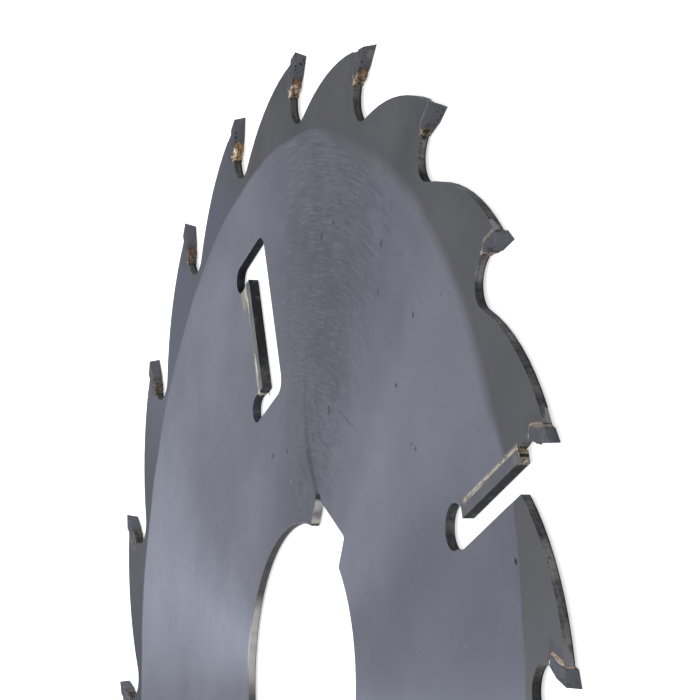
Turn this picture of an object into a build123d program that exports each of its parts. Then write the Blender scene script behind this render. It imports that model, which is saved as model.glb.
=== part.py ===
from build123d import *
import os
from math import cos, radians, sin, sqrt, tan

# Circular saw blade for ripping wood. A steel plate carries brazed carbide
# tips at the rim and brazed carbide rakers in slots further in.
# The bore axis is +Z, the origin is the bore centre at mid thickness and the
# first tip lies on +X. Seen from above the teeth point clockwise.
# All sizes are in millimetres and degrees.

# whole blade
cutting_diameter = 300.0
kerf = 3.0
tooth_count = 20
bore_diameter = 75.0
bore_edge_break = 0.3

# plate and its thinner ground rim
plate_thickness = 2.2
rim_thickness = 2.0
rim_band_width = 20.0
rim_run_out = 2.5

# keyways in the bore
keyway_count = 2
keyway_width = 21.0
keyway_floor_radius = 44.0
keyway_corner_radius = 1.0
keyway_angle = -29.7

# carbide tip, measured along and square to its rake face
hook_angle = 20.5
relief_angle = 17.5
tip_length = 9.7
tip_thickness = 3.0
tip_foot_length = 3.9
tip_foot_depth = 1.25
bevel_drop = 0.65
side_clearance_radial = 1.0
side_clearance_back = 1.4

# tooth body
shoulder_drop = 1.92
shoulder_back = 4.9
back_radius = 60.0
gullet_radius = 5.75
gullet_centre_drop = 11.7
gullet_centre_ahead = 0.7
facet_length = 3.7
facet_width = 1.2
facet_depth = 0.3

# silver braze
braze_gap = 0.25
braze_collar = 0.85
braze_rise = 0.13
braze_bead = 0.35

# carbide rakers
raker_length = 29.8
raker_thickness = 2.8
raker_width = 2.5
raker_slots = 2
seat_bevel_width = 1.2
seat_bevel_depth = 0.2

# closed slots that hold the inner rakers, depth counted from the cutting circle
inner_slot_angle = 20.4
inner_slot_depth = 37.9
inner_slot_length = 42.3
inner_slot_front = 14.3
inner_slot_corner = 3.6
inner_lobe_radius = 3.3
inner_lobe_back = 4.75
inner_raker_face = 1.3

# open slots that hold the outer rakers, depth counted the same way
outer_slot_angle = -71.5
outer_lobe_radius = 4.95
outer_lobe_depth = 49.45
outer_lobe_back = 0.56
outer_slot_front = 5.4
outer_slot_corner = 3.8
outer_raker_face = -0.5

# values that follow from the ones above
cut_radius = cutting_diameter / 2
pitch = 360 / tooth_count
rim_full_radius = cut_radius - rim_band_width
rim_start_radius = rim_full_radius - rim_run_out
shoulder_radius = cut_radius - shoulder_drop
shoulder_x = sqrt(shoulder_radius**2 - shoulder_back**2)
gullet_centre = Vector(cut_radius - gullet_centre_drop, -gullet_centre_ahead)
gullet_wall_y = gullet_radius - gullet_centre_ahead
seat_depth = tip_length + braze_gap
seat_back = tip_thickness + braze_gap
inner_seat = raker_thickness + braze_gap - inner_raker_face
outer_seat = raker_thickness + braze_gap - outer_raker_face
inner_slot_end = cut_radius - inner_slot_depth
inner_slot_start = inner_slot_end - inner_slot_length
outer_lobe_centre = cut_radius - outer_lobe_depth
inner_raker_start = inner_slot_start + (inner_slot_length - raker_length) / 2
outer_raker_start = outer_lobe_centre + outer_lobe_radius
raker_turn = 360 / raker_slots


def high_side(n):
    """Which face of the plate the high corner of tip n is on."""
    return 1 if n % 2 == 0 else -1


def on_tip(along, behind):
    """Point at a distance down the rake face and behind it."""
    lean = radians(hook_angle)
    return Vector(
        cut_radius - cos(lean) * along + sin(lean) * behind,
        sin(lean) * along + cos(lean) * behind,
    )


def turned(point, angle):
    """The point turned about the bore axis."""
    return Vector(point.X, point.Y).rotate(Axis.Z, angle)


def back_centre():
    """Centre of the tooth back, which runs smoothly into the gullet behind."""
    shoulder = Vector(shoulder_x, shoulder_back)
    gullet = turned(gullet_centre, pitch)
    reach = back_radius + gullet_radius
    step = gullet - shoulder
    along = (back_radius**2 - reach**2 + step.length**2) / (2 * step.length)
    across = sqrt(back_radius**2 - along**2)
    unit = step.normalized()
    return shoulder + unit * along + Vector(-unit.Y, unit.X) * across


def gullet_cutter():
    """Space in front of one tooth, with the seat of its tip, as a flat face."""
    lean = radians(hook_angle)
    wall_top_x = cut_radius - (seat_depth - gullet_wall_y * sin(lean)) / cos(lean)
    wall_top = Vector(wall_top_x, gullet_wall_y)
    wall_foot = Vector(gullet_centre.X, gullet_wall_y)
    centre = turned(back_centre(), -pitch)
    to_back = (centre - gullet_centre).normalized()
    meeting = gullet_centre + to_back * gullet_radius
    shoulder = turned(Vector(shoulder_x, shoulder_back), -pitch)
    bulge = ((meeting + shoulder) * 0.5 - centre).normalized()
    seat_top = on_tip(-6, seat_back)
    seat_foot = on_tip(seat_depth, seat_back)
    floor_point = gullet_centre + Vector(-gullet_radius, 0)
    outside = shoulder * 1.08
    outline = Polyline(seat_top, seat_foot, wall_top, wall_foot)
    outline += ThreePointArc(wall_foot, floor_point, meeting)
    outline += ThreePointArc(meeting, centre + bulge * back_radius, shoulder)
    outline += Polyline(shoulder, outside, seat_top)
    return make_face(outline)


def slot_lobe(radius, centre, back):
    """Round relief at the end of a raker seat, with its neck into the slot."""
    neck = Pos(centre, 0) * Rectangle(2 * radius, back, align=(Align.CENTER, Align.MIN))
    return Pos(centre, back) * Circle(radius) + neck


def inner_slot():
    """Closed slot of an inner raker, drawn along the slot axis."""
    width = inner_slot_front + inner_seat
    body = Rectangle(inner_slot_length, width, align=(Align.MIN, Align.MIN))
    body = Pos(inner_slot_start, -inner_slot_front) * body
    corners = body.vertices().group_by(Axis.Y)[0]
    body = fillet(corners, inner_slot_corner)
    near = slot_lobe(inner_lobe_radius, inner_slot_start + inner_lobe_radius, inner_lobe_back)
    far = slot_lobe(inner_lobe_radius, inner_slot_end - inner_lobe_radius, inner_lobe_back)
    return body + near + far


def outer_slot():
    """Slot of an outer raker, open to the gullet in front of a tooth."""
    length = cut_radius - outer_lobe_centre
    width = outer_slot_front + outer_seat
    body = Rectangle(length, width, align=(Align.MIN, Align.MIN))
    body = Pos(outer_lobe_centre - 1, -outer_slot_front) * body
    corner = body.vertices().group_by(Axis.Y)[0].sort_by(Axis.X)[0]
    body = fillet(corner, outer_slot_corner)
    return body + Pos(outer_lobe_centre, outer_lobe_back) * Circle(outer_lobe_radius)


def keyway():
    """One keyway, drawn along +X, with small corner radii at its floor."""
    body = Rectangle(keyway_floor_radius, keyway_width, align=(Align.MIN, Align.CENTER))
    return fillet(body.vertices().group_by(Axis.X)[-1], keyway_corner_radius)


def seat_bevel(start, seat):
    """Wedge cut off the edge of a raker seat on one face, which braze fills."""
    top = plate_thickness / 2
    slope = seat_bevel_depth / seat_bevel_width
    near = seat - braze_gap
    far = seat + seat_bevel_width + 0.4
    profile = Polyline(
        (start, near, top - seat_bevel_depth - slope * braze_gap),
        (start, far, top + slope * 0.4),
        (start, far, top + 1),
        (start, near, top + 1),
        close=True,
    )
    return extrude(make_face(profile), raker_length, dir=(1, 0, 0))


def rim_relief():
    """Ring ground off one face so the rim is thinner than the centre."""
    top = plate_thickness / 2
    low = rim_thickness / 2
    profile = Polyline(
        (rim_start_radius, 0, top),
        (rim_full_radius, 0, low),
        (cut_radius, 0, low),
        (cut_radius, 0, top + 1),
        (rim_start_radius, 0, top + 1),
        close=True,
    )
    return revolve(make_face(profile), Axis.Z)


def ground_facet(high):
    """Sliver ground off the steel behind a tip, opposite its high corner."""
    shoulder = Vector(shoulder_x, shoulder_back)
    normal = (shoulder - back_centre()).normalized()
    along = Vector(-normal.Y, normal.X)
    slope = facet_depth / facet_width
    low = rim_thickness / 2
    inner = high * (low - facet_width - 0.4)
    outer = high * (low + 0.4)
    outline = Polyline(
        (0.4 * slope, inner),
        (-facet_depth - 0.4 * slope, outer),
        (1.5, outer),
        (1.5, inner),
        close=True,
    )
    start = Plane(origin=shoulder - along * 1.4, x_dir=normal, z_dir=along)
    return extrude(start * make_face(outline), facet_length + 1.4)


def saw_plate():
    """The one-piece steel plate with every hole, slot, gullet and tip seat."""
    flat = Circle(shoulder_radius) - Circle(bore_diameter / 2)
    for n in range(tooth_count):
        flat -= Rot(0, 0, n * pitch) * gullet_cutter()
    for n in range(keyway_count):
        flat -= Rot(0, 0, keyway_angle + 360 / keyway_count * n) * keyway()
    for n in range(raker_slots):
        flat -= Rot(0, 0, inner_slot_angle + raker_turn * n) * inner_slot()
        flat -= Rot(0, 0, outer_slot_angle + raker_turn * n) * outer_slot()
    plate = extrude(flat, plate_thickness / 2, both=True)
    plate -= rim_relief()
    plate -= mirror(rim_relief(), Plane.XY)
    for n in range(raker_slots):
        inner_bevel = seat_bevel(inner_raker_start, inner_seat)
        outer_bevel = seat_bevel(outer_raker_start, outer_seat)
        for bevel, angle in ((inner_bevel, inner_slot_angle), (outer_bevel, outer_slot_angle)):
            plate -= Rot(0, 0, angle + raker_turn * n) * bevel
            plate -= Rot(0, 0, angle + raker_turn * n) * mirror(bevel, Plane.XY)
    for n in range(tooth_count):
        plate -= Rot(0, 0, n * pitch) * ground_facet(high_side(n))
    arcs = plate.edges().filter_by(GeomType.CIRCLE)
    bore_arcs = arcs.filter_by(lambda e: abs(e.radius - bore_diameter / 2) < 0.01)
    return chamfer(bore_arcs, bore_edge_break)


def tip(high):
    """Carbide tip on +X, its high corner above (1) or below (-1) the plate."""
    outline = Polyline(
        on_tip(-4, 0),
        on_tip(tip_length - tip_foot_length, 0),
        on_tip(tip_length, tip_foot_depth),
        on_tip(tip_length, tip_thickness),
        on_tip(-4, tip_thickness),
        close=True,
    )
    body = extrude(make_face(outline), kerf, both=True)
    lean = bevel_drop / kerf
    top = Plane(
        origin=(cut_radius - bevel_drop / 2, 0, 0),
        z_dir=(1, tan(radians(relief_angle)), -high * lean),
    )
    body = split(body, bisect_by=top, keep=Keep.BOTTOM)
    for face in (1, -1):
        flank = Plane(
            origin=(cut_radius, 0, face * kerf / 2),
            z_dir=(
                -tan(radians(side_clearance_radial)),
                tan(radians(side_clearance_back)),
                face,
            ),
        )
        body = split(body, bisect_by=flank, keep=Keep.BOTTOM)
    return body


def tip_braze(high, plate, carbide):
    """Braze behind and under a tip, with side collars and a bead at the foot."""
    low = rim_thickness / 2
    layer = Polyline(
        on_tip(-6, tip_thickness),
        on_tip(-6, seat_back),
        on_tip(seat_depth, seat_back),
        on_tip(seat_depth, tip_foot_depth + 0.2),
        on_tip(tip_length, tip_foot_depth + 0.2),
        on_tip(tip_length, tip_thickness),
        close=True,
    )
    collar = Polyline(
        on_tip(-6, tip_thickness),
        on_tip(-6, seat_back + braze_collar),
        on_tip(seat_depth - 0.6, seat_back + braze_collar),
        on_tip(seat_depth + braze_gap, seat_back + braze_collar - 0.7),
        on_tip(seat_depth + braze_gap, 2.0),
        on_tip(tip_length, 2.0),
        on_tip(tip_length, tip_thickness),
        close=True,
    )
    slope = tip_foot_depth / tip_foot_length
    bead_top = tip_length - tip_foot_length + 0.6
    bead = Polyline(
        on_tip(bead_top, 0.6 * slope),
        on_tip(bead_top + 1.1, 1.7 * slope - braze_bead),
        on_tip(tip_length, tip_foot_depth - braze_bead),
        on_tip(tip_length + 1.4, tip_foot_depth - 0.2),
        on_tip(tip_length + 1.9, tip_foot_depth + 0.6),
        on_tip(seat_depth, tip_foot_depth + 1.2),
        on_tip(tip_length, tip_foot_depth + 1.2),
        close=True,
    )
    body = extrude(make_face(layer), low, both=True)
    body += extrude(make_face(collar), low + braze_rise, both=True)
    body += extrude(make_face(bead), low + 0.2, both=True)
    body &= Cylinder(shoulder_radius - 0.1, kerf)
    body -= carbide
    body -= plate
    return body - ground_facet(high)


def raker(start, face):
    """Carbide raker bar lying along its slot axis."""
    body = Box(
        raker_length,
        raker_thickness,
        raker_width,
        align=(Align.MIN, Align.MIN, Align.CENTER),
    )
    return Pos(start, -face, 0) * body


def raker_braze(start, face, plate, carbide):
    """Braze that fills the gap behind a raker and the bevels of its seat."""
    body = Box(
        raker_length,
        braze_gap + seat_bevel_width,
        plate_thickness,
        align=(Align.MIN, Align.MIN, Align.CENTER),
    )
    return Pos(start, raker_thickness - face, 0) * body - plate - carbide


os.makedirs("parts", exist_ok=True)
plate = saw_plate()
export_step(plate, "parts/saw_plate.step")

for n in range(tooth_count):
    carbide = tip(high_side(n))
    braze = tip_braze(high_side(n), Rot(0, 0, -n * pitch) * plate, carbide)
    place = Rot(0, 0, n * pitch)
    export_step(place * carbide, f"parts/tooth_tip_{n + 1:02d}.step")
    export_step(place * braze, f"parts/tip_braze_{n + 1:02d}.step")

for name, angle, start, face in (
    ("inner", inner_slot_angle, inner_raker_start, inner_raker_face),
    ("outer", outer_slot_angle, outer_raker_start, outer_raker_face),
):
    for n in range(raker_slots):
        carbide = raker(start, face)
        turn = angle + raker_turn * n
        braze = raker_braze(start, face, Rot(0, 0, -turn) * plate, carbide)
        export_step(Rot(0, 0, turn) * carbide, f"parts/raker_{name}_{n + 1}.step")
        export_step(Rot(0, 0, turn) * braze, f"parts/raker_braze_{name}_{n + 1}.step")
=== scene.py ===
from math import cos, radians, sin

import bpy
from mathutils import Matrix, Vector, noise as space_noise


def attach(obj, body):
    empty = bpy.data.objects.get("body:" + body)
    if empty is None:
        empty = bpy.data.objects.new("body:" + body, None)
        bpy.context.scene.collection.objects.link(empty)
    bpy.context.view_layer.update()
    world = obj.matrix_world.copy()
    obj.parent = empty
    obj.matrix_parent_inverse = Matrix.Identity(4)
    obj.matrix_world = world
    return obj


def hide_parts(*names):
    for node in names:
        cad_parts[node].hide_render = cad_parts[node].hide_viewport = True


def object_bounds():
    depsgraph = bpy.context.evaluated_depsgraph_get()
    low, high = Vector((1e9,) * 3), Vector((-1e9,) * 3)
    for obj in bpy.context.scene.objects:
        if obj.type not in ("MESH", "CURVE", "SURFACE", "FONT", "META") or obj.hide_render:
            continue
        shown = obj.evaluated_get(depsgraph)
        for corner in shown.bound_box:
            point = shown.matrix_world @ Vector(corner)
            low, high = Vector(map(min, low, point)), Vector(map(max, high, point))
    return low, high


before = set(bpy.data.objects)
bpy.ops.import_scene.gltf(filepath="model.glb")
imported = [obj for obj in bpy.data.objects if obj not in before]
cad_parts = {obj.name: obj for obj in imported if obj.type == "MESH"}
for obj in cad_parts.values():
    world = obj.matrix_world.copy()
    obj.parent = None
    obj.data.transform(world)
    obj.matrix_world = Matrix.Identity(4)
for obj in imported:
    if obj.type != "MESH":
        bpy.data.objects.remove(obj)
cad_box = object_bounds()
bpy.ops.object.select_all(action="DESELECT")

# The saw plate is one disc cut by laser from hardened spring steel, flattened, ground in circles on both
# faces and thinned at the rim. Its cut edges keep a dark scale, and handling has left smudges and dents.

cut_radius = round(cad_box[1][0], 4)
pitch_degrees = 18
hook = radians(20.5)
rim_radius = 0.1297
rim_blend = 0.0009
rim_fade = 0.0068

# soft limits, in metres from the middle of the bore: where each of these begins and where it is complete
bore_edge = (0.0372, 0.0382)
keyway_side = (0.0378, 0.0384)
keyway_floor = (0.0460, 0.0480)
stain_wide = (0.052, 0.064)
stain_end = (0.066, 0.082)
closed_slot_start = (0.060, 0.064)
closed_slot_foot = (0.077, 0.082)
closed_slot_end = (0.113, 0.115)
slot_relief_start = (0.094, 0.096)
slot_relief_end = (0.104, 0.106)
gullet_floor = (0.1320, 0.1362)
gullet_mouth = (0.1400, 0.1440)
tooth_back_start = (0.1395, 0.1425)
dark_back_edge_start = (0.120, 0.130)

# directions from the bore, in degrees
handled_way = -11
soft_rim_way = -38
paler_wall_way = -64
stain_way = -13
tooth_back_way = -87
closed_slot_way = 15
bright_bore_way = 75

edge_tint = (0.6, 0.6, 0.62, 1)
ground_steel = (0.098, 0.1045, 0.127, 1)
# lighter and darker steel, also used for painted sheen and shade
ground_steel_light_and_sheen = (0.137, 0.145, 0.175, 1)
ground_steel_dark_and_shade = (0.073, 0.0765, 0.098, 1)
rim_steel = (0.108, 0.109, 0.119, 1)
rim_steel_dark = (0.085, 0.086, 0.094, 1)
# tones of painted sheen and shade on the rim
rim_painted_blue_sheen = (0.104, 0.112, 0.138, 1)
rim_painted_shade = (0.058, 0.062, 0.074, 1)
rim_painted_sheen = (0.126, 0.127, 0.140, 1)
plate_grime = (0.064, 0.067, 0.078, 1)
stain_tone = (0.044, 0.049, 0.047, 1)
nick_dark = (0.012, 0.013, 0.016, 1)
pit_black = (0.003, 0.003, 0.004, 1)
cut_scale = (0.016, 0.017, 0.020, 1)
cut_scale_worn = (0.082, 0.081, 0.084, 1)
cut_scale_pale = (0.360, 0.354, 0.352, 1)
slot_soot = (0.010, 0.013, 0.019, 1)
slot_soot_worn = (0.036, 0.041, 0.054, 1)
slot_soot_thin = (0.105, 0.108, 0.130, 1)
bore_steel = (0.150, 0.150, 0.154, 1)
key_steel = (0.450, 0.445, 0.435, 1)
bore_steel_bright = (0.620, 0.605, 0.590, 1)
# bare ground steel of the bevels, painted lighter than the face as a highlight
facet_steel_and_highlight = (0.235, 0.232, 0.245, 1)
# pale bare steel, also used for a painted highlight along the sharp edges
bare_steel_and_edge_highlight = (0.190, 0.192, 0.205, 1)
heat_brown = (0.108, 0.088, 0.078, 1)
heat_violet = (0.066, 0.070, 0.122, 1)

# painted sheen and shade in fans, standing in for the light that the wheel's circles catch: direction in
# degrees, cosines of the angle at which a fan begins and is complete, strength, and tone
face_painted_sheen_and_shade = (
    (-53, 0.968, 0.998, 0.42, ground_steel_light_and_sheen),
    (80, 0.980, 0.999, 0.22, ground_steel_light_and_sheen),
    (-82, 0.960, 0.990, 0.45, ground_steel_dark_and_shade),
)
# painted sheen and shade in fans over the rim
rim_painted_sheen_and_shade = (
    (42, 0.90, 0.97, 1.0, rim_painted_blue_sheen),
    (80, 0.90, 0.99, 0.7, rim_painted_shade),
    (-15, 0.96, 0.99, 0.5, rim_painted_sheen),
    (-72, 0.88, 0.98, 0.65, rim_painted_sheen),
)

# dents and scratches in the front face: place in metres, direction in degrees, length and width in metres,
# and strength
dark_dents = (
    ((0.0963, -0.0551), -30, 0.0026, 0.0016, 0.60),
    ((0.0945, -0.0487), 0, 0.0022, 0.0036, 0.16),
    ((0.0858, -0.0529), 20, 0.0026, 0.0015, 0.40),
    ((0.0785, -0.0734), 35, 0.0018, 0.0012, 0.70),
    ((0.0643, -0.0634), 0, 0.0012, 0.0018, 0.70),
    ((0.0510, -0.0721), 0, 0.0010, 0.0017, 0.45),
    ((0.0499, -0.0743), 0, 0.0015, 0.0014, 0.65),
    ((0.0244, -0.1259), 35, 0.0020, 0.0013, 0.90),
    ((0.1032, -0.0169), 0, 0.0028, 0.0018, 0.45),
    ((0.1053, -0.0247), 0, 0.0013, 0.0025, 0.50),
    ((0.0623, -0.0214), 15, 0.0030, 0.0018, 0.50),
    ((0.0550, 0.0077), 0, 0.0013, 0.0016, 0.60),
    ((0.0545, 0.0179), -35, 0.0021, 0.0013, 0.70),
    ((0.0583, -0.0353), -115, 0.0184, 0.0005, 0.22),
    ((0.0588, -0.0338), -121, 0.0064, 0.0007, 0.30),
    ((0.1059, -0.0610), 25, 0.0050, 0.0008, 0.25),
    ((0.1040, -0.0612), -25, 0.0050, 0.0008, 0.25),
)
bright_dents = (
    ((0.0475, 0.0047), 0, 0.0014, 0.0024, 0.45),
    ((0.1050, -0.0105), 85, 0.0056, 0.0004, 0.5),
    ((0.1176, -0.0031), 84, 0.0040, 0.0004, 0.45),
    ((0.1169, -0.0031), 86, 0.0040, 0.0004, 0.35),
)

# braze smeared on the plate at the outer end of each inner raker: place, direction, length, width and colour
braze_smears = (
    ((0.0955, 0.0399), 20, 0.0082, 0.0046, (0.180, 0.174, 0.142, 1)),
    ((0.0968, 0.0384), 20, 0.0056, 0.0024, (0.350, 0.345, 0.300, 1)),
)


def shade(tree, kind, feeds=None, **settings):
    """Add a shader node whose inputs get a value or another node's output."""
    made = tree.nodes.new("ShaderNode" + kind)
    for name, value in settings.items():
        setattr(made, name, value)
    for name, value in (feeds or {}).items():
        if isinstance(value, bpy.types.NodeSocket):
            tree.links.new(value, made.inputs[name])
        else:
            made.inputs[name].default_value = value
    return made


def number(tree, operation, first, second=0.0):
    """A sum, product or other operation on two numbers."""
    return shade(tree, "Math", {0: first, 1: second}, operation=operation).outputs[0]


def product(tree, *factors):
    """Several numbers multiplied."""
    result = factors[0]
    for factor in factors[1:]:
        result = number(tree, "MULTIPLY", result, factor)
    return result


def ramp(tree, value, low, high, start=0.0, end=1.0):
    """A number that goes smoothly from start to end as value goes from low to high."""
    feeds = {"Value": value, "From Min": low, "From Max": high, "To Min": start, "To Max": end}
    return shade(tree, "MapRange", feeds, interpolation_type="SMOOTHSTEP").outputs[0]


def between(tree, value, rise, fall):
    """One between two soft limits, nought outside them."""
    return product(tree, ramp(tree, value, *rise), ramp(tree, value, *fall, 1.0, 0.0))


def blend(tree, factor, first, second):
    """A colour between two others."""
    feeds = {0: factor, 6: first, 7: second}
    return shade(tree, "Mix", feeds, data_type="RGBA").outputs[2]


def noise(tree, vector, scale, detail=3.0, roughness=0.5):
    """Value of a noise pattern, about 0.5 in the middle."""
    feeds = {"Vector": vector, "Scale": scale, "Detail": detail, "Roughness": roughness}
    return shade(tree, "TexNoise", feeds).outputs["Fac"]


def scaled(tree, vector, sizes):
    """A vector with each part multiplied."""
    return shade(tree, "VectorMath", {0: vector, 1: sizes}, operation="MULTIPLY").outputs[0]


def moved(tree, vector, step):
    """A vector shifted by a step."""
    return shade(tree, "VectorMath", {0: vector, 1: step}, operation="ADD").outputs[0]


def length_of(tree, vector):
    """The length of a vector."""
    return shade(tree, "VectorMath", {0: vector}, operation="LENGTH").outputs["Value"]


def dot(tree, first, second):
    """The dot product of two vectors."""
    return shade(tree, "VectorMath", {0: first, 1: second}, operation="DOT_PRODUCT").outputs["Value"]


def direction_of(tree, vector):
    """A vector brought to length one."""
    return shade(tree, "VectorMath", {0: vector}, operation="NORMALIZE").outputs[0]


def flat_from(tree, place, centre):
    """A place as seen from above, counted from a centre."""
    return scaled(tree, moved(tree, place, (-centre[0], -centre[1], 0)), (1, 1, 0))


def new_material(name):
    """A material with its node tree, its surface shader and object coordinates."""
    material = bpy.data.materials.new(name)
    material.use_nodes = True
    tree = material.node_tree
    surface = tree.nodes["Principled BSDF"]
    surface.inputs["Specular Tint"].default_value = edge_tint
    place = shade(tree, "TexCoord").outputs["Object"]
    return material, tree, surface, place


def dress(node_name, material):
    """Give a part of the frame its material."""
    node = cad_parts[node_name]
    node.data.materials.clear()
    node.data.materials.append(material)


def flatness(tree):
    """How far a surface faces up or down, from nought on a wall to one on a face."""
    normal = shade(tree, "NewGeometry").outputs["True Normal"]
    return number(tree, "ABSOLUTE", shade(tree, "SeparateXYZ", {0: normal}).outputs[2])


def along_sharp_edges(tree, radius, low, high):
    """One along sharp edges, nought away from them."""
    soft = shade(tree, "Bevel", {"Radius": radius}, samples=6).outputs[0]
    sharp = shade(tree, "NewGeometry").outputs["Normal"]
    return ramp(tree, dot(tree, soft, sharp), low, high, 1.0, 0.0)


def turning_marks(tree, place, centre, turns, fineness):
    """Fine arcs round a centre, as a wheel leaves them on a ground face."""
    flat = flat_from(tree, place, centre)
    around = scaled(tree, direction_of(tree, flat), (turns, turns, 0))
    rise = shade(tree, "CombineXYZ", {2: product(tree, length_of(tree, flat), fineness)}).outputs[0]
    return noise(tree, moved(tree, around, rise), 1.0, 2.0, 0.6)


def lean(tree, unit, degrees):
    """Cosine of the angle between a direction and the line from the bore to a place."""
    return dot(tree, unit, (cos(radians(degrees)), sin(radians(degrees)), 0))


def toward(tree, unit, degrees, low, high):
    """One in the fan of the disc that lies along a direction from the bore, nought away from it."""
    return ramp(tree, lean(tree, unit, degrees), low, high)


def both_ways(tree, unit, degrees, low, high):
    """One in two opposite fans of the disc, nought away from them."""
    return ramp(tree, number(tree, "ABSOLUTE", lean(tree, unit, degrees)), low, high)


def lay_painted_fans(tree, colour, unit, fans):
    """A colour with fans of painted sheen and shade laid over it."""
    for degrees, low, high, strength, tone in fans:
        fan = product(tree, toward(tree, unit, degrees, low, high), strength)
        colour = blend(tree, fan, colour, tone)
    return colour


def spot(tree, place, centre, along, length, width):
    """One over a small long spot on the face, nought around it."""
    feeds = {"Vector": flat_from(tree, place, centre), "Angle": -radians(along)}
    turned = shade(tree, "VectorRotate", feeds, rotation_type="Z_AXIS").outputs[0]
    away = length_of(tree, scaled(tree, turned, (1 / length, 1 / width, 0)))
    return ramp(tree, away, 0.28, 0.5, 1.0, 0.0)


steel, tree, surface, place = new_material("ground_spring_steel")
parts = shade(tree, "SeparateXYZ", {0: place}).outputs
flat_place = scaled(tree, place, (1, 1, 0))
reach = length_of(tree, flat_place)
unit = direction_of(tree, flat_place)
level = flatness(tree)
on_face = ramp(tree, level, 0.55, 0.9)
on_bevel = ramp(tree, level, 0.12, 0.2)
in_front = ramp(tree, parts[2], -0.0002, 0.0002)

# the thinned rim begins at a wavy line, with a wide soft edge in one stretch
rim_wave = ramp(tree, noise(tree, place, 60.0, 3.0), 0.2, 0.8, -0.0005, 0.0005)
wavy = number(tree, "ADD", reach, rim_wave)
soft_stretch = toward(tree, unit, soft_rim_way, 0.80, 0.95)
rim_start = ramp(tree, soft_stretch, 0.0, 1.0, rim_radius - rim_blend, rim_radius - rim_fade)
on_rim = ramp(tree, wavy, rim_start, rim_radius + rim_blend)

# the ground face: arcs left by the wheel, cloudy tone, fans of painted sheen and shade, smudges where
# the blade is handled
round_marks = turning_marks(tree, place, (0, 0), 13.0, 2000.0)
fine_marks = turning_marks(tree, place, (0, 0), 34.0, 3600.0)
cross_marks = turning_marks(tree, place, (0.07, -0.11), 12.0, 2000.0)
slant_marks = turning_marks(tree, place, (0.02, 0.16), 12.0, 2000.0)
broad_marks = turning_marks(tree, place, (0, 0), 7.0, 110.0)
cloud = noise(tree, place, 24.0, 4.0, 0.55)
patchy = ramp(tree, noise(tree, place, 45.0, 3.0, 0.6), 0.42, 0.62)
swirl = shade(tree, "Mix", {0: patchy, 2: cross_marks, 3: slant_marks}, data_type="FLOAT").outputs[0]
marks = number(tree, "ADD", product(tree, round_marks, 0.5), product(tree, swirl, 0.25))
marks = number(tree, "ADD", marks, product(tree, fine_marks, 0.25))

face_colour = blend(tree, ramp(tree, cloud, 0.34, 0.68), ground_steel_dark_and_shade, ground_steel_light_and_sheen)
face_colour = blend(tree, 0.6, face_colour, ground_steel)
face_colour = blend(tree, ramp(tree, broad_marks, 0.3, 0.7, 0.2, 0.0), face_colour, ground_steel_dark_and_shade)
handled = toward(tree, unit, handled_way, 0.91, 0.995)
strength = number(tree, "ADD", 0.24, product(tree, handled, 0.72))
scores = product(tree, ramp(tree, marks, 0.40, 0.5, 1.0, 0.0), strength)
face_colour = blend(tree, scores, face_colour, ground_steel_dark_and_shade)
glints = product(tree, ramp(tree, marks, 0.52, 0.62), strength)
face_colour = blend(tree, glints, face_colour, ground_steel_light_and_sheen)
# painted sheen and shade in fans over the face
face_colour = lay_painted_fans(tree, face_colour, unit, face_painted_sheen_and_shade)
smudge = ramp(tree, noise(tree, place, 55.0, 5.0, 0.7), 0.48, 0.64)
face_colour = blend(tree, product(tree, smudge, handled, 0.22), face_colour, plate_grime)

# a thin dark stain runs in a bow from the corner of the keyway towards the rim, along a parabola in metres
bow_curve = -15.18
bow_slope = 2.024
bow_start = -0.0724
bow = number(tree, "ADD", product(tree, parts[0], parts[0], bow_curve), product(tree, parts[0], bow_slope))
off_stain = number(tree, "SUBTRACT", number(tree, "ADD", bow, bow_start), parts[1])
wobble = ramp(tree, noise(tree, place, 260.0, 3.0), 0.2, 0.8, -0.0008, 0.0008)
off_stain = number(tree, "ABSOLUTE", number(tree, "ADD", off_stain, wobble))
half_width = ramp(tree, reach, *stain_wide, 0.0024, 0.0015)
stain = product(tree, ramp(tree, off_stain, 0.0, half_width, 1.0, 0.0), in_front)
stain = product(tree, stain, ramp(tree, reach, *stain_wide, 1.0, 0.5))
stain = product(tree, stain, ramp(tree, reach, *stain_end, 1.0, 0.0))
broken = ramp(tree, noise(tree, place, 420.0, 3.0, 0.7), 0.35, 0.6, 0.45, 1.0)
stain = product(tree, stain, toward(tree, unit, stain_way, 0.92, 0.96), broken)
face_colour = blend(tree, stain, face_colour, stain_tone)

# tiny dark and pale specks
specks = ramp(tree, noise(tree, place, 560.0, 2.0, 0.5), 0.72, 0.78)
face_colour = blend(tree, product(tree, specks, 0.4), face_colour, nick_dark)
pale = ramp(tree, noise(tree, moved(tree, place, (3, 0, 0)), 500.0, 2.0, 0.5), 0.72, 0.78)
face_colour = blend(tree, product(tree, pale, 0.35), face_colour, bare_steel_and_edge_highlight)

# the rim's duller steel has clouds, wheel marks and fans of painted sheen and shade of its own
rim_cloud = ramp(tree, noise(tree, place, 40.0, 4.0, 0.6), 0.35, 0.7)
rim_colour = blend(tree, rim_cloud, rim_steel_dark, rim_steel)
rim_colour = blend(tree, ramp(tree, marks, 0.38, 0.55, 0.3, 0.0), rim_colour, rim_steel_dark)
# painted sheen and shade in fans over the rim
rim_colour = lay_painted_fans(tree, rim_colour, unit, rim_painted_sheen_and_shade)
face_colour = blend(tree, on_rim, face_colour, rim_colour)

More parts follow.
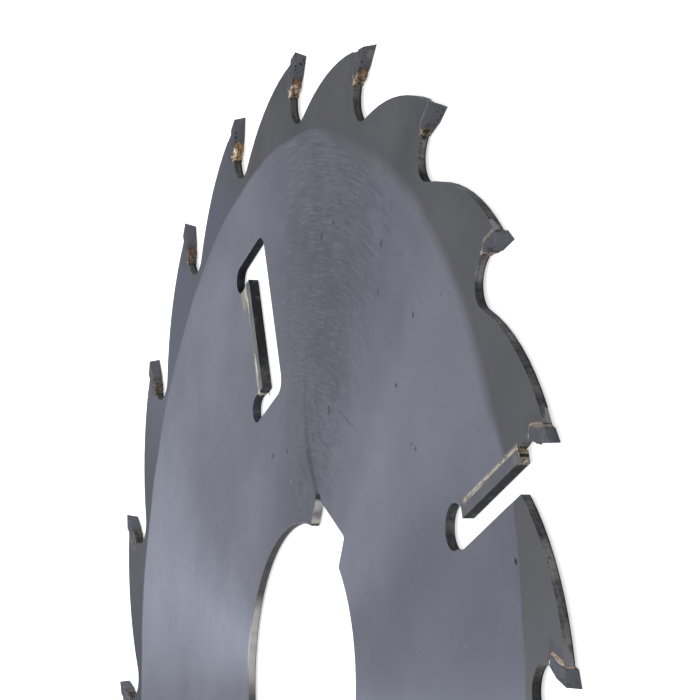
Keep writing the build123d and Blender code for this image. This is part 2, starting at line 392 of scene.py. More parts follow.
# dents and scratches on the front, smears of braze on both faces and at both inner rakers
for dents, tone in ((dark_dents, nick_dark), (bright_dents, bare_steel_and_edge_highlight)):
    for centre, along, length, width, depth in dents:
        hit = spot(tree, place, centre, along, length, width)
        face_colour = blend(tree, product(tree, hit, in_front, depth), face_colour, tone)
for centre, along, length, width, tone in braze_smears:
    for side in (1, -1):
        hit = spot(tree, place, (centre[0] * side, centre[1] * side), along, length, width)
        face_colour = blend(tree, product(tree, hit, 0.85), face_colour, tone)

# the braze's heat has tinted the steel round each tip, brown close to it and violet further off
bearing = number(tree, "ARCTAN2", parts[1], parts[0])
wrap = {0: bearing, 1: radians(pitch_degrees), 2: 0.0}
bearing = shade(tree, "Math", wrap, operation="WRAP").outputs[0]
beside = product(tree, reach, number(tree, "SINE", bearing))
below = number(tree, "SUBTRACT", cut_radius, product(tree, reach, number(tree, "COSINE", bearing)))
along = number(tree, "ADD", product(tree, below, cos(hook)), product(tree, beside, sin(hook)))
behind = number(tree, "SUBTRACT", product(tree, beside, cos(hook)), product(tree, below, sin(hook)))
uneven = noise(tree, place, 150.0, 3.0, 0.6)
behind_far = number(tree, "ADD", behind, ramp(tree, uneven, 0.3, 0.7, -0.0012, 0.0012))
beside_tip = ramp(tree, along, 0.0105, 0.0125, 1.0, 0.0)
heated = product(tree, ramp(tree, behind_far, 0.0040, 0.0068, 1.0, 0.0), beside_tip)
heated = product(tree, heated, ramp(tree, noise(tree, place, 31.0, 2.0), 0.42, 0.56, 0.15, 0.75))
heat_tone = blend(tree, ramp(tree, behind_far, 0.0040, 0.0050), heat_brown, heat_violet)
face_colour = blend(tree, heated, face_colour, heat_tone)

# the cut walls: scale with fine lines through the thickness and along the edge
wall_grain = noise(tree, scaled(tree, place, (1, 1, 0.12)), 1500.0, 4.0, 0.7)
drag_lines = noise(tree, scaled(tree, place, (0.07, 0.07, 1)), 2600.0, 3.0, 0.6)
wall_patch = noise(tree, place, 190.0, 4.0, 0.6)
upright_lines = ramp(tree, wall_grain, 0.38, 0.62, 0.0, 0.5)
lines = number(tree, "ADD", upright_lines, ramp(tree, drag_lines, 0.40, 0.60, 0.0, 0.5))
blotch = ramp(tree, wall_patch, 0.42, 0.60)
mottle = number(tree, "ADD", product(tree, lines, 0.55), product(tree, blotch, 0.45))
wall_colour = blend(tree, mottle, cut_scale, cut_scale_worn)

# the gullet walls are paler up the gullets, most of all next to the tips and along one side of the blade
up_gullet = product(tree, ramp(tree, reach, *gullet_floor), ramp(tree, reach, *gullet_mouth, 1.0, 0.7))
at_seat = ramp(tree, beside, 0.004, 0.008, 1.0, 0.0)
before_next_tip = ramp(tree, beside, 0.036, 0.040)
near_tip = number(tree, "MAXIMUM", at_seat, before_next_tip)
paler_wall_side = toward(tree, unit, paler_wall_way, 0.78, 0.93)
paler_walls = number(tree, "ADD", ramp(tree, paler_wall_side, 0.0, 1.0, 0.27, 0.30), product(tree, near_tip, paler_wall_side, 0.76))
tooth_back = product(tree, ramp(tree, reach, *tooth_back_start), 0.36)
tooth_back = product(tree, tooth_back, toward(tree, unit, tooth_back_way, 0.965, 0.99))
paler_walls = product(tree, number(tree, "ADD", paler_walls, tooth_back), up_gullet)
paler_walls = product(tree, paler_walls, number(tree, "ADD", 0.38, product(tree, mottle, 0.90)))
wall_colour = blend(tree, paler_walls, wall_colour, cut_scale_pale)

# the walls stay darker towards the back face, chips have nicked the scale, and the braze browned the seats
back_edge_low = ramp(tree, paler_wall_side, 0.0, 1.0, -0.0007, -0.0009)
back_edge_high = ramp(tree, paler_wall_side, 0.0, 1.0, -0.0003, -0.0005)
near_back_face = ramp(tree, parts[2], back_edge_low, back_edge_high, 0.7, 0.0)
dark_back_edge = product(tree, near_back_face, ramp(tree, reach, *dark_back_edge_start))
wall_colour = blend(tree, dark_back_edge, wall_colour, cut_scale)
nicks = ramp(tree, noise(tree, place, 800.0, 3.0, 0.65), 0.56, 0.66, 0.0, 0.5)
wall_colour = blend(tree, nicks, wall_colour, cut_scale)
at_foot = between(tree, along, (0.0095, 0.0105), (0.0115, 0.0140))
close_behind = ramp(tree, behind, 0.0040, 0.0050, 1.0, 0.0)
at_foot = product(tree, at_foot, close_behind, ramp(tree, uneven, 0.4, 0.6, 0.0, 0.35))
wall_colour = blend(tree, at_foot, wall_colour, heat_brown)

# the closed slots are black with soot, thinner at the foot, and the round feet of the open slots are scraped
in_closed_slot = between(tree, reach, closed_slot_start, closed_slot_end)
slot_line = both_ways(tree, unit, closed_slot_way, 0.88, 0.92)
soot = blend(tree, mottle, slot_soot, slot_soot_worn)
thin_patch = ramp(tree, wall_patch, 0.4, 0.55, 0.5, 0.95)
thin_soot = product(tree, ramp(tree, reach, *closed_slot_foot, 1.0, 0.0), thin_patch)
soot = blend(tree, thin_soot, soot, slot_soot_thin)
wall_colour = blend(tree, product(tree, in_closed_slot, slot_line, 0.85), wall_colour, soot)
off_slot_line = ramp(tree, slot_line, 0.0, 0.1, 1.0, 0.0)
scraped = product(tree, between(tree, reach, slot_relief_start, slot_relief_end), off_slot_line)
scraped = product(tree, scraped, ramp(tree, wall_patch, 0.4, 0.6, 0.1, 0.8))
wall_colour = blend(tree, scraped, wall_colour, bore_steel)

# the bore is machined and is brighter on two opposite sides, and the keyway's walls are bright in patches
bore_tone = blend(tree, ramp(tree, wall_grain, 0.35, 0.65, 0.0, 0.8), bore_steel, cut_scale_worn)
bright_bore_sides = both_ways(tree, unit, bright_bore_way, 0.93, 0.995)
bright_bore_sides = product(tree, bright_bore_sides, ramp(tree, wall_patch, 0.3, 0.6, 0.75, 1.0))
bore_tone = blend(tree, bright_bore_sides, bore_tone, bore_steel_bright)
wall_colour = blend(tree, ramp(tree, reach, *bore_edge, 1.0, 0.0), wall_colour, bore_tone)
key_wall = between(tree, reach, keyway_side, keyway_floor)
key_wall = product(tree, key_wall, ramp(tree, wall_patch, 0.35, 0.6, 0.35, 1.0))
wall_colour = blend(tree, key_wall, wall_colour, key_steel)

# walls, bevels and faces together, with a painted highlight along the sharp edges, a black corner of the
# keyway and a hollow in one gullet
# the bevels are bare ground steel with a painted highlight
colour = blend(tree, on_bevel, wall_colour, facet_steel_and_highlight)
colour = blend(tree, on_face, colour, face_colour)
# painted highlight along the plate's sharp edges, in patches
plate_edge_highlight = product(tree, along_sharp_edges(tree, 0.00022, 0.80, 0.97), ramp(tree, wall_patch, 0.35, 0.6, 0.2, 0.8))
colour = blend(tree, plate_edge_highlight, colour, bare_steel_and_edge_highlight)
black_corner = spot(tree, place, (0.0425, -0.0137), 0, 0.0034, 0.0042)
hollow = product(tree, between(tree, parts[2], (-0.0006, -0.0002), (0.0003, 0.0008)), 0.8)
hollow = product(tree, hollow, spot(tree, place, (0.1161, -0.0783), 0, 0.0019, 0.0019))
colour = blend(tree, number(tree, "MAXIMUM", black_corner, hollow), colour, pit_black)
tree.links.new(colour, surface.inputs["Base Color"])
surface.inputs["Metallic"].default_value = 0.96

# the face shines across the wheel's circles, and the rim and the walls are duller
face_rough = ramp(tree, marks, 0.35, 0.65, 0.37, 0.43)
rough = number(tree, "ADD", face_rough, product(tree, on_rim, 0.3))
rough = number(tree, "ADD", rough, ramp(tree, on_bevel, 0.0, 1.0, 0.2, 0.0))
tree.links.new(rough, surface.inputs["Roughness"])
surface.inputs["Anisotropic"].default_value = 0.9
surface.inputs["Anisotropic Rotation"].default_value = 0.25
round_tangent = shade(tree, "Tangent", direction_type="RADIAL", axis="Z").outputs[0]
tree.links.new(round_tangent, surface.inputs["Tangent"])
on_wall = ramp(tree, on_face, 0.0, 1.0, 1.0, 0.0)
height = number(tree, "ADD", product(tree, marks, on_face, 0.25), product(tree, wall_grain, on_wall))
bump = shade(tree, "Bump", {"Strength": 0.5, "Distance": 0.00006, "Height": height})
tree.links.new(bump.outputs[0], surface.inputs["Normal"])
dress("saw_plate", steel)

# The tips are sintered tungsten carbide, ground on the top, the flanks and the rake face. Black flux sits in
# small pits of the ground faces.

carbide_light = (0.140, 0.143, 0.152, 1)
carbide_blue = (0.052, 0.058, 0.088, 1)
carbide_pit = (0.010, 0.010, 0.011, 1)
pit_level = 0.66
tip_wall = (0.081, 0.086, 0.097, 1)
tip_flank = (0.043, 0.045, 0.054, 1)
tip_dark = (0.039, 0.041, 0.047, 1)
tip_pale_patch = (0.125, 0.121, 0.120, 1)
teeth = range(1, 360 // pitch_degrees + 1)


def tooth_turn(n):
    """Angle of tooth n from the first tooth, against the clock as seen from above."""
    return radians(pitch_degrees * (n - 1))


def on_tip(n, along, behind, height=0.0):
    """Place in metres, from millimetres down the rake face of tooth n, behind it and above mid plane."""
    x = cut_radius - (cos(hook) * along - sin(hook) * behind) / 1000
    y = (sin(hook) * along + cos(hook) * behind) / 1000
    return Matrix.Rotation(tooth_turn(n), 4, "Z") @ Vector((x, y, height / 1000))


def carbide_finish(name, wall_colour, flank_colour, dark_colour, wall_spots=(), blots=()):
    """Ground carbide with a colour for its flanks, one for the other faces, spots on those, and blots."""
    material, tree, surface, place = new_material(name)
    grain = noise(tree, place, 1000.0, 5.0, 0.75)
    patch = noise(tree, place, 320.0, 3.0, 0.6)
    pits = ramp(tree, noise(tree, place, 950.0, 2.0, 0.6), pit_level, pit_level + 0.05)
    heat = ramp(tree, noise(tree, moved(tree, place, (1, 0, 0)), 240.0, 2.0), 0.48, 0.62, 0.0, 0.45)
    mottle = ramp(tree, patch, 0.35, 0.65)
    walls = wall_colour
    for centre, along, length, width, tone in wall_spots:
        hit = spot(tree, place, centre, along, length, width)
        walls = blend(tree, product(tree, hit, ramp(tree, mottle, 0.0, 1.0, 0.55, 1.0)), walls, tone)
    flanks = blend(tree, heat, flank_colour, carbide_blue)
    body = blend(tree, ramp(tree, flatness(tree), 0.4, 0.8), walls, flanks)
    body = blend(tree, ramp(tree, grain, 0.38, 0.62, 0.45, 0.0), body, dark_colour)
    body = blend(tree, ramp(tree, patch, 0.52, 0.68, 0.0, 0.2), body, carbide_light)
    body = blend(tree, pits, body, carbide_pit)
    ragged = ramp(tree, noise(tree, place, 1900.0, 2.0, 0.6), 0.3, 0.7, -0.00014, 0.00014)
    for centre, radius, tone in blots:
        away = number(tree, "ADD", length_of(tree, moved(tree, place, tuple(-centre))), ragged)
        body = blend(tree, ramp(tree, away, radius * 0.6, radius * 1.2, 0.85, 0.0), body, tone)
    edge = product(tree, along_sharp_edges(tree, 0.00018, 0.82, 0.97), ramp(tree, patch, 0.4, 0.6, 0.1, 0.4))
    body = blend(tree, edge, body, carbide_light)
    tree.links.new(body, surface.inputs["Base Color"])
    surface.inputs["Metallic"].default_value = 0.9
    tree.links.new(ramp(tree, grain, 0.3, 0.7, 0.36, 0.55), surface.inputs["Roughness"])
    bump = shade(tree, "Bump", {"Strength": 0.4, "Distance": 0.00005, "Height": grain})
    tree.links.new(bump.outputs[0], surface.inputs["Normal"])
    return material


# black flux burnt in on the tips: millimetres down and behind the rake face and above mid plane, and radius
flux_blots = {
    1: (
        (2.8, 0, -0.3, 0.40), (3.4, 0, 1.0, 0.24), (4.3, 0, 0.8, 0.28), (5.0, 0, 0.4, 0.24),
        (1.8, 0, -1.0, 0.24), (2.6, 0, -1.4, 0.26), (4.0, 0, -1.35, 0.22),
    ),
    2: (
        (5.4, 0, 1.0, 0.32), (7.5, 0, 0.7, 0.28), (6.4, 0, -0.1, 0.24), (8.4, 0, 0.9, 0.34),
        (4.2, 0, 1.05, 0.24), (6.5, 0, 0.9, 0.24),
    ),
    18: (
        (5.3, 0.1, 1.35, 0.40), (6.1, 0.3, 1.3, 0.46), (6.9, 0.8, 1.3, 0.36), (4.2, 0, 1.3, 0.26),
        (6.2, 0, 0.2, 0.30), (5.6, 0, -0.5, 0.26),
    ),
    19: (
        (2.5, 0, 0.4, 0.24), (3.6, 0, -0.9, 0.26), (4.9, 0, -0.6, 0.24), (6.4, 0, -0.2, 0.24),
        (1.8, 0, -0.7, 0.20), (7.1, 0, 0.2, 0.26), (3.3, 0, -1.4, 0.24), (4.6, 0, -1.4, 0.22),
    ),
    20: ((4.6, 0, 1.0, 0.26), (5.6, 0, -0.2, 0.24), (6.3, 0, 0.7, 0.24)),
}
blots = [
    (on_tip(n, along, behind, height), radius / 1000, carbide_pit)
    for n, places in flux_blots.items()
    for along, behind, height, radius in places
]
blots.append((on_tip(20, 2.6, 0, -0.9), 0.0013, tip_pale_patch))
tip_carbide = carbide_finish("tip_carbide", tip_wall, tip_flank, tip_dark, blots=blots)
for n in teeth:
    dress(f"tooth_tip_{n:02d}", tip_carbide)

# The rakers are carbide bars brazed along one side of their slots. Their sides are ground like the tips, and
# the face that meets the chips is black with resin and flux, except near the ends.

inner_bearing = 20.4
outer_bearing = -71.5
chip_face_dark = (0.010, 0.010, 0.011, 1)

# spots on the chip face of each kind: millimetres out along the raker and across it, length and width in
# metres, and colour
inner_spots = (
    (78.9, -0.6, 0.0085, 0.0050, (0.066, 0.064, 0.066, 1)),
)
outer_spots = (
    (135.6, 0.9, 0.0032, 0.0060, (0.290, 0.265, 0.245, 1)),
    (135.6, 3.0, 0.0032, 0.0030, (0.310, 0.270, 0.190, 1)),
    (135.4, 2.1, 0.0014, 0.0009, (0.020, 0.018, 0.016, 1)),
    (128.0, -0.6, 0.0120, 0.0040, (0.018, 0.017, 0.016, 1)),
)

# kinds: name, bearing in degrees, colours of the chip face and of the sides, and spots
raker_kinds = (
    ("inner", inner_bearing, (0.020, 0.021, 0.023, 1), (0.120, 0.123, 0.135, 1), inner_spots),
    ("outer", outer_bearing, (0.012, 0.012, 0.013, 1), (0.070, 0.071, 0.080, 1), outer_spots),
)


def at_bearing(degrees, out, across):
    """Place in metres of a point in millimetres out along a bearing and across it."""
    turn = radians(degrees)
    return (out * cos(turn) - across * sin(turn)) / 1000, (out * sin(turn) + across * cos(turn)) / 1000


for kind, angle, chip_colour, side_colour, spots in raker_kinds:
    placed = []
    for bearing in (angle, angle + 180):
        for out, across, length, width, tone in spots:
            placed.append((at_bearing(bearing, out, across), bearing, length, width, tone))
    finish = carbide_finish(f"raker_{kind}_carbide", chip_colour, side_colour, chip_face_dark, placed)
    for n in (1, 2):
        dress(f"raker_{kind}_{n}", finish)

# The braze is a silver alloy that ran between the carbide and the plate and froze with a rounded, uneven
# skin. Heat has turned it gold, copper or rust brown at the foot of some teeth, and others were ground clean.

# colours at the foot of a tooth: dull, bright and dark
cream = ((0.175, 0.100, 0.060), (0.43, 0.375, 0.285), (0.070, 0.034, 0.024))
honey = ((0.270, 0.180, 0.082), (0.55, 0.48, 0.32), (0.110, 0.062, 0.032))
gold = ((0.150, 0.100, 0.062), (0.33, 0.31, 0.225), (0.062, 0.034, 0.024))
copper = ((0.098, 0.062, 0.044), (0.17, 0.135, 0.112), (0.045, 0.029, 0.024))
rust = ((0.112, 0.070, 0.046), (0.22, 0.175, 0.138), (0.026, 0.017, 0.013))
blush = ((0.150, 0.122, 0.108), (0.26, 0.220, 0.190), (0.050, 0.040, 0.036))
dull = ((0.080, 0.068, 0.061), (0.135, 0.108, 0.098), (0.040, 0.034, 0.032))
smoked = ((0.052, 0.048, 0.044), (0.088, 0.079, 0.066), (0.030, 0.028, 0.027))
plain = ((0.042, 0.042, 0.046), (0.050, 0.050, 0.054), (0.030, 0.030, 0.033))

# the strip behind a tip: its colours beside the plate, beside the carbide and at its ends
dim = ((0.036, 0.038, 0.045), (0.036, 0.038, 0.045), (0.036, 0.036, 0.041))
brownish = ((0.036, 0.037, 0.042), (0.048, 0.042, 0.041), (0.040, 0.035, 0.035))
ochre = ((0.160, 0.120, 0.078), (0.29, 0.230, 0.200), (0.27, 0.210, 0.180))
tan = ((0.140, 0.116, 0.084), (0.130, 0.098, 0.088), (0.20, 0.155, 0.145))
straw = ((0.175, 0.168, 0.118), (0.125, 0.116, 0.096), (0.070, 0.064, 0.060))
grey = ((0.064, 0.058, 0.058), (0.096, 0.095, 0.098), (0.060, 0.050, 0.048))
bare_carbide = (0.060, 0.062, 0.068)

# teeth by number: colours at the foot and of the strip, brightness of the line at the foot, and swell
tooth_braze = {
    1: (cream, dim, 0, 1.0),
    2: (honey, dim, 0, 0.95),
    3: (copper, brownish, 0, 0.9),
    4: (dull, brownish, 0, 0.8),
    5: (smoked, dim, 0, 0.8),
    6: (smoked, dim, 0, 0.7),
    16: (plain, ochre, 0.40, 0.0),
    17: (plain, tan, 0.30, 0.0),
    18: (blush, straw, 0.21, 0.0),
    19: (rust, grey, 0, 0.3),
    20: (gold, dim, 0, 1.0),
}

# teeth that the photo hides take these kinds in turn
other_braze = ((gold, brownish, 0, 0.9), (copper, grey, 0, 0.7), (plain, tan, 0.3, 0.0))

# beads of flux left on a tip, by the tooth's number: their colour, and for each one the millimetres down the
# rake face, behind it and above mid plane, and the radius in millimetres
residues = {
    17: (
        (0.055, 0.060, 0.060),
        ((4.6, 0.00, 1.00, 0.38), (5.5, 0.10, 1.05, 0.30), (3.3, 0.10, 1.05, 0.24), (6.4, 0.15, 1.00, 0.30)),
    ),
    18: (
        (0.004, 0.004, 0.005),
        (
            (5.8, 0.20, 1.20, 0.24), (6.4, 0.50, 1.18, 0.25), (6.9, 0.85, 1.16, 0.22),
            (7.3, 0.50, 1.12, 0.26), (6.3, 0.10, 0.70, 0.24),
        ),
    ),
    19: (
        (0.010, 0.008, 0.007),
        ((10.75, 1.75, 0.75, 0.40), (10.80, 1.25, 0.40, 0.32)),
    ),
}

# where a tooth's braze changes, in millimetres down the rake face
foot_top = 5.5
foot_blend = 7.6
plain_foot_start = 7.7
foot_middle = 9.6
silver_line = 9.85
strip_middle = 6.6
strip_half = 2.5

# and in millimetres behind the rake face
silver_span = (1.2, 3.05)
strip_start = 3.3
strip_tones_meet = 3.35
foot_back = 3.85

skin_voxel = 0.00013
merge_distance = 0.000001
braze_shadow = (0.03, 0.024, 0.02, 1)


def mixed(first, second, share):
    """A colour between two others, as plain numbers."""
    share = min(max(share, 0.0), 1.0)
    return tuple(a + (b - a) * share for a, b in zip(first, second))


def speckle(point, scale, seed):
    """Noise at a point, about 0.5 in the middle."""
    shifted = Vector((point.x + seed * 0.37, point.y - seed * 0.21, point.z)) * scale
    return 0.5 + 0.5 * space_noise.fractal(shifted, 1.0, 2.0, 3)


def frozen_braze(node_name, material, drops, colour_at):
    """The braze of one joint with a rounded, uneven skin, tinted point by point."""
    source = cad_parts[node_name]
    piece = bpy.data.objects.new(f"{node_name}_skin", source.data.copy())
    bpy.context.scene.collection.objects.link(piece)
    joined = [piece]
    for centre, sizes, turn in drops:
        bpy.ops.mesh.primitive_uv_sphere_add(segments=24, ring_count=16, radius=1)
        drop = bpy.context.object
        shape = Matrix.Translation(centre) @ Matrix.Rotation(turn, 4, "Z") @ Matrix.Diagonal((*sizes, 1))
        drop.data.transform(shape)
        joined.append(drop)
    bpy.ops.object.select_all(action="DESELECT")
    for each in joined:
        each.select_set(True)
    bpy.context.view_layer.objects.active = piece
    if drops:
        bpy.ops.object.join()
    piece = bpy.context.view_layer.objects.active
    bpy.ops.object.mode_set(mode="EDIT")
    bpy.ops.mesh.select_all(action="SELECT")
    bpy.ops.mesh.remove_doubles(threshold=merge_distance)
    bpy.ops.mesh.normals_make_consistent(inside=False)
    bpy.ops.object.mode_set(mode="OBJECT")
    skin = piece.modifiers.new("skin", "REMESH")
    skin.mode = "VOXEL"
    skin.voxel_size = skin_voxel
    soft = piece.modifiers.new("soft", "SMOOTH")
    soft.factor = 0.5
    soft.iterations = 2
    for modifier in ("skin", "soft"):
        bpy.ops.object.modifier_apply(modifier=modifier)
    mesh = piece.data
    tint = mesh.color_attributes.new("tint", "FLOAT_COLOR", "POINT")
    for index, vertex in enumerate(mesh.vertices):
        tint.data[index].color = (*colour_at(vertex.co), 1)
    bpy.ops.object.shade_smooth()
    mesh.materials.clear()
    mesh.materials.append(material)
    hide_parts(node_name)
    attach(piece, "root")


braze_skin, tree, surface, place = new_material("braze_skin")
tinted = shade(tree, "Attribute", attribute_name="tint").outputs["Color"]
mottle = noise(tree, place, 1500.0, 4.0, 0.7)
body = blend(tree, ramp(tree, mottle, 0.35, 0.6, 0.35, 0.0), tinted, braze_shadow)
tree.links.new(body, surface.inputs["Base Color"])
surface.inputs["Metallic"].default_value = 0.6
tree.links.new(ramp(tree, mottle, 0.3, 0.7, 0.32, 0.6), surface.inputs["Roughness"])
bump = shade(tree, "Bump", {"Strength": 0.6, "Distance": 0.00008, "Height": mottle})
tree.links.new(bump.outputs[0], surface.inputs["Normal"])


def tip_braze_colour(n, foot, strip, silver, swell, residue):
    """Colours of a tooth's braze: a mottled foot, and a strip behind the tip with brown ends."""
    back = Matrix.Rotation(-tooth_turn(n), 4, "Z")
    main, bright, dark = foot
    outer, inner, ends = strip

    def colour_at(point):
        here = back @ point
        down = cut_radius - here.x
        along = (cos(hook) * down + sin(hook) * here.y) * 1000
        behind = (-sin(hook) * down + cos(hook) * here.y) * 1000
        for centre, radius, tone in residue:
            if (point - centre).length < radius * 1.25:
                return tone
        fine = speckle(point, 1500, n)
        coarse = speckle(point, 850, n + 7)
        at_foot = mixed(main, bright, (coarse - 0.485) * 6 + (along - foot_middle) * 0.35)
        at_foot = mixed(at_foot, dark, (fine - 0.50) * 6)
        if swell < 0.5:
            at_foot = mixed(bare_carbide, at_foot, (along - plain_foot_start) * 2)
        if silver and abs(along - silver_line) < 0.2 and silver_span[0] < behind < silver_span[1]:
            at_foot = mixed((silver, silver, silver * 1.06), main, (coarse - 0.5) * 5)
        at_strip = mixed(inner, outer, (behind - strip_tones_meet) * 4 + (coarse - 0.5) * 3)
        at_strip = mixed(at_strip, ends, (abs(along - strip_middle) - strip_half) * (0.3 + coarse))
        at_strip = mixed(at_strip, ends, (fine - 0.53) * 4)
        if along <= foot_top or behind >= strip_start:
            return at_strip
        return mixed(at_strip, at_foot, (foot_back - behind) * 2.5 + (along - foot_blend) * 1.2)

    return colour_at


for n in teeth:
    foot, strip, silver, swell = tooth_braze.get(n, other_braze[n % 3])
    drops = []
    residue = []
    tone, beads = residues.get(n, (None, ()))
    for along, behind, height, radius in beads:
        centre = on_tip(n, along, behind, height)
        drops.append((centre, (radius / 1000, radius / 1000, radius / 1000), 0))
        residue.append((centre, radius / 1000, tone))
    turn = tooth_turn(n) - hook
    if swell:
        # the braze stands out under the rake face, round the foot of the tip and a little below it
        size = 0.55 + 0.45 * swell
        if swell > 0.5:
            drops.append((on_tip(n, 8.2, 0.55), (0.0021 * swell, 0.00095 * swell, 0.00136), turn))
        drops.append((on_tip(n, 9.3, 1.1), (0.0016 * size, 0.0010 * size, 0.00138), turn))
        drops.append((on_tip(n, 10.0, 1.4, 0.4), (0.0010, 0.0008, 0.0009), turn))
    else:
        # thin beads lie along both edges of the strip behind the tip, and one across its top
        for height in (-1.14, 1.14):
            drops.append((on_tip(n, 6.3, 3.16, height), (0.0031, 0.00030, 0.00024), turn))
        drops.append((on_tip(n, 3.1, 3.10), (0.00050, 0.00040, 0.00115), turn))
    colour_at = tip_braze_colour(n, foot, strip, silver, swell, residue)
    frozen_braze(f"tip_braze_{n:02d}", braze_skin, drops, colour_at)

# the braze of the rakers: lengths in millimetres, and the colours that its seams show
raker_length = 29.8
raker_thickness = 2.8
seam_height = 1.12
ground_clean = (0.072, 0.073, 0.080)
seam_end = ((0.46, 0.42, 0.31), (0.12, 0.09, 0.065))
seam_tan = (0.30, 0.262, 0.235)
seam_olive = (0.25, 0.24, 0.150)
seam_plum = (0.13, 0.090, 0.085)
seam_brown = (0.11, 0.085, 0.075)


def raker_braze_colour(angle, start, face, seed, widest, pale, overflow):
    """Colours of a raker's seam, which thins out towards its ends and is ground clean beyond."""
    back = Matrix.Rotation(radians(-angle), 4, "Z")
    overflow_bright = tuple(level * 1.8 for level in overflow)

    def colour_at(point):
        here = back @ point * 1000
        share = (here.x - start) / raker_length
        across = here.y - (raker_thickness - face)
        coarse = speckle(point, 330, seed)
        fine = speckle(point, 1300, seed + 3)
        toward_end = abs(share * 2 - 1.0)
        if widest == "ends":
            wide = 0.5 + 1.7 * toward_end**3
        else:
            narrowing = min(max(share - 0.45, 0.0) * 4, 1.0)
            wide = (1.9 - narrowing) * (1 - toward_end**4 * (1.0 if share < 0.5 else 0.3))
        wide *= 0.75 + 0.5 * coarse
        if abs(here.z) > seam_height:
            return mixed(overflow, overflow_bright, (coarse - 0.42) * 5)
        if share > 0.99:
            return mixed(*seam_end, (fine - 0.52) * 5)
        seam = mixed(seam_tan, pale, (coarse - 0.45) * 5)
        seam = mixed(seam, seam_olive, (across - 0.6 * wide + 0.15) * 3)
        seam = mixed(seam, seam_plum, (0.22 - across) * 4)
        seam = mixed(seam, seam_brown, (fine - 0.54) * 6)
        return mixed(seam, ground_clean, (across - wide) * 6)

    return colour_at


# drops of braze: millimetres out along the raker, across it and above mid plane, and half sizes in metres
inner_drops = (
    (81.0, 1.00, 1.20, (0.0065, 0.00060, 0.00016)),
    (81.0, 1.00, -1.20, (0.0065, 0.00060, 0.00016)),
    (101.5, 1.25, 1.20, (0.0045, 0.00045, 0.00016)),
    (101.5, 1.25, -1.20, (0.0045, 0.00045, 0.00016)),
)
outer_drops = (
    (112.5, 3.15, 1.19, (0.0075, 0.00036, 0.00012)),
    (112.5, 3.15, -1.19, (0.0075, 0.00036, 0.00012)),
    (135.42, 0.75, -0.30, (0.00046, 0.00056, 0.00056)),
    (135.35, 2.45, 1.02, (0.00030, 0.00100, 0.00020)),
)

# seams: kind, bearing, inner end and offset of the raker's face in millimetres, drops, where the braze is
# widest, its palest colour, and the colour of what ran over onto the plate
raker_seams = (
    ("inner", inner_bearing, 76.05, 1.3, inner_drops, "ends", (0.52, 0.49, 0.43), (0.235, 0.230, 0.195)),
    ("outer", outer_bearing, 105.5, -0.5, outer_drops, "middle", (0.36, 0.33, 0.28), (0.150, 0.145, 0.115)),
)
for n in (1, 2):
    for kind, angle, start, face, drops, widest, pale, overflow in raker_seams:
        bearing = angle + 180 * (n - 1)
        placed = [
            (Vector((*at_bearing(bearing, out, across), height / 1000)), sizes, radians(bearing))
            for out, across, height, sizes in drops
        ]
        colour_at = raker_braze_colour(bearing, start, face, n, widest, pale, overflow)
        frozen_braze(f"raker_braze_{kind}_{n}", braze_skin, placed, colour_at)

# Stage: a plain white floor just under the lowest tips, an even sky and three lamps behind the blade. On
# steel ground in circles each lamp draws a fan of sheen from the bore to the rim.

floor_size = 6
floor_gap = 0.00002
lamp_distance = 1.5
lamp_aim = Vector((0.05, 0, 0))


def background_rays(tree):
    """One for rays that show the background: from the camera, in a reflection or through glass."""
    rays = shade(tree, "LightPath").outputs
    seen = number(tree, "MAXIMUM", rays["Is Camera Ray"], rays["Is Glossy Ray"])
    return number(tree, "MAXIMUM", seen, rays["Is Transmission Ray"])


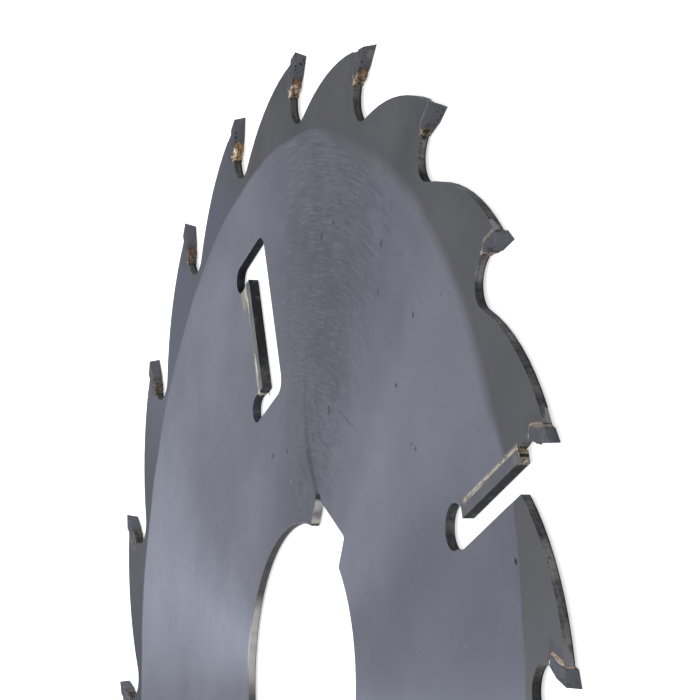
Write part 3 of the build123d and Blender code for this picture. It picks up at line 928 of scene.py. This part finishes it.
bpy.ops.mesh.primitive_plane_add(size=floor_size, location=(0, 0, cad_box[0][2] - floor_gap))
floor = bpy.context.object
floor.name = "floor"
floor_paint, tree = new_material("white_floor")[:2]
glow_feeds = {"Color": (1, 1, 1, 1), "Strength": product(tree, background_rays(tree), 0.6)}
glow = shade(tree, "Emission", glow_feeds)
matt = shade(tree, "BsdfDiffuse", {"Color": (0.8, 0.8, 0.8, 1)})
both = shade(tree, "AddShader", {0: glow.outputs[0], 1: matt.outputs[0]})
tree.links.new(both.outputs[0], tree.nodes["Material Output"].inputs["Surface"])
floor.data.materials.append(floor_paint)

world = bpy.data.worlds.new("even_sky")
bpy.context.scene.world = world
world.use_nodes = True
tree = world.node_tree
sky = tree.nodes["Background"]
sky.inputs["Color"].default_value = (1, 1, 1, 1)
tree.links.new(ramp(tree, background_rays(tree), 0.0, 1.0, 0.6, 1.0), sky.inputs["Strength"])

# lamps: direction round and above the blade in degrees, size in metres and power
lamps = (
    ("sheen_lamp", 140.0, 73.9, 0.2, 8.4),
    ("far_lamp", 94.0, 38.0, 0.7, 5.0),
    ("side_lamp", 45.5, 38.3, 0.7, 4.6),
)
for name, around, above, size, power in lamps:
    lamp = bpy.data.lights.new(name, "AREA")
    lamp.size = size
    lamp.energy = power
    lamp_object = bpy.data.objects.new(name, lamp)
    bpy.context.scene.collection.objects.link(lamp_object)
    flat = cos(radians(above))
    way = Vector((flat * cos(radians(around)), flat * sin(radians(around)), sin(radians(above))))
    lamp_object.location = lamp_aim + way * lamp_distance
    lamp_object.rotation_euler = (-way).to_track_quat("-Z", "Y").to_euler()

# Camera: about 20 degrees above the face and turned on its side, so that the blade appears to stand up in
# the picture, with its lower part cut off by the edge.

camera_aim = Vector((0.07516, -0.03231, 0))
camera_distance = 0.6503
camera_backward = Vector((-0.10633, -0.93086, 0.34957))
camera_roll = radians(-87.99)
camera_data = bpy.data.cameras.new("camera")
camera_data.lens = 148.07
camera_data.sensor_width = 36
camera_data.clip_start = 0.01
camera = bpy.data.objects.new("camera", camera_data)
bpy.context.scene.collection.objects.link(camera)
camera.rotation_mode = "QUATERNION"
turn = camera_backward.to_track_quat("Z", "Y").to_matrix() @ Matrix.Rotation(camera_roll, 3, "Z")
camera_place = camera_aim + camera_backward.normalized() * camera_distance
camera.matrix_world = Matrix.Translation(camera_place) @ turn.to_4x4()
bpy.context.scene.camera = camera
bpy.context.scene.view_settings.view_transform = "Standard"
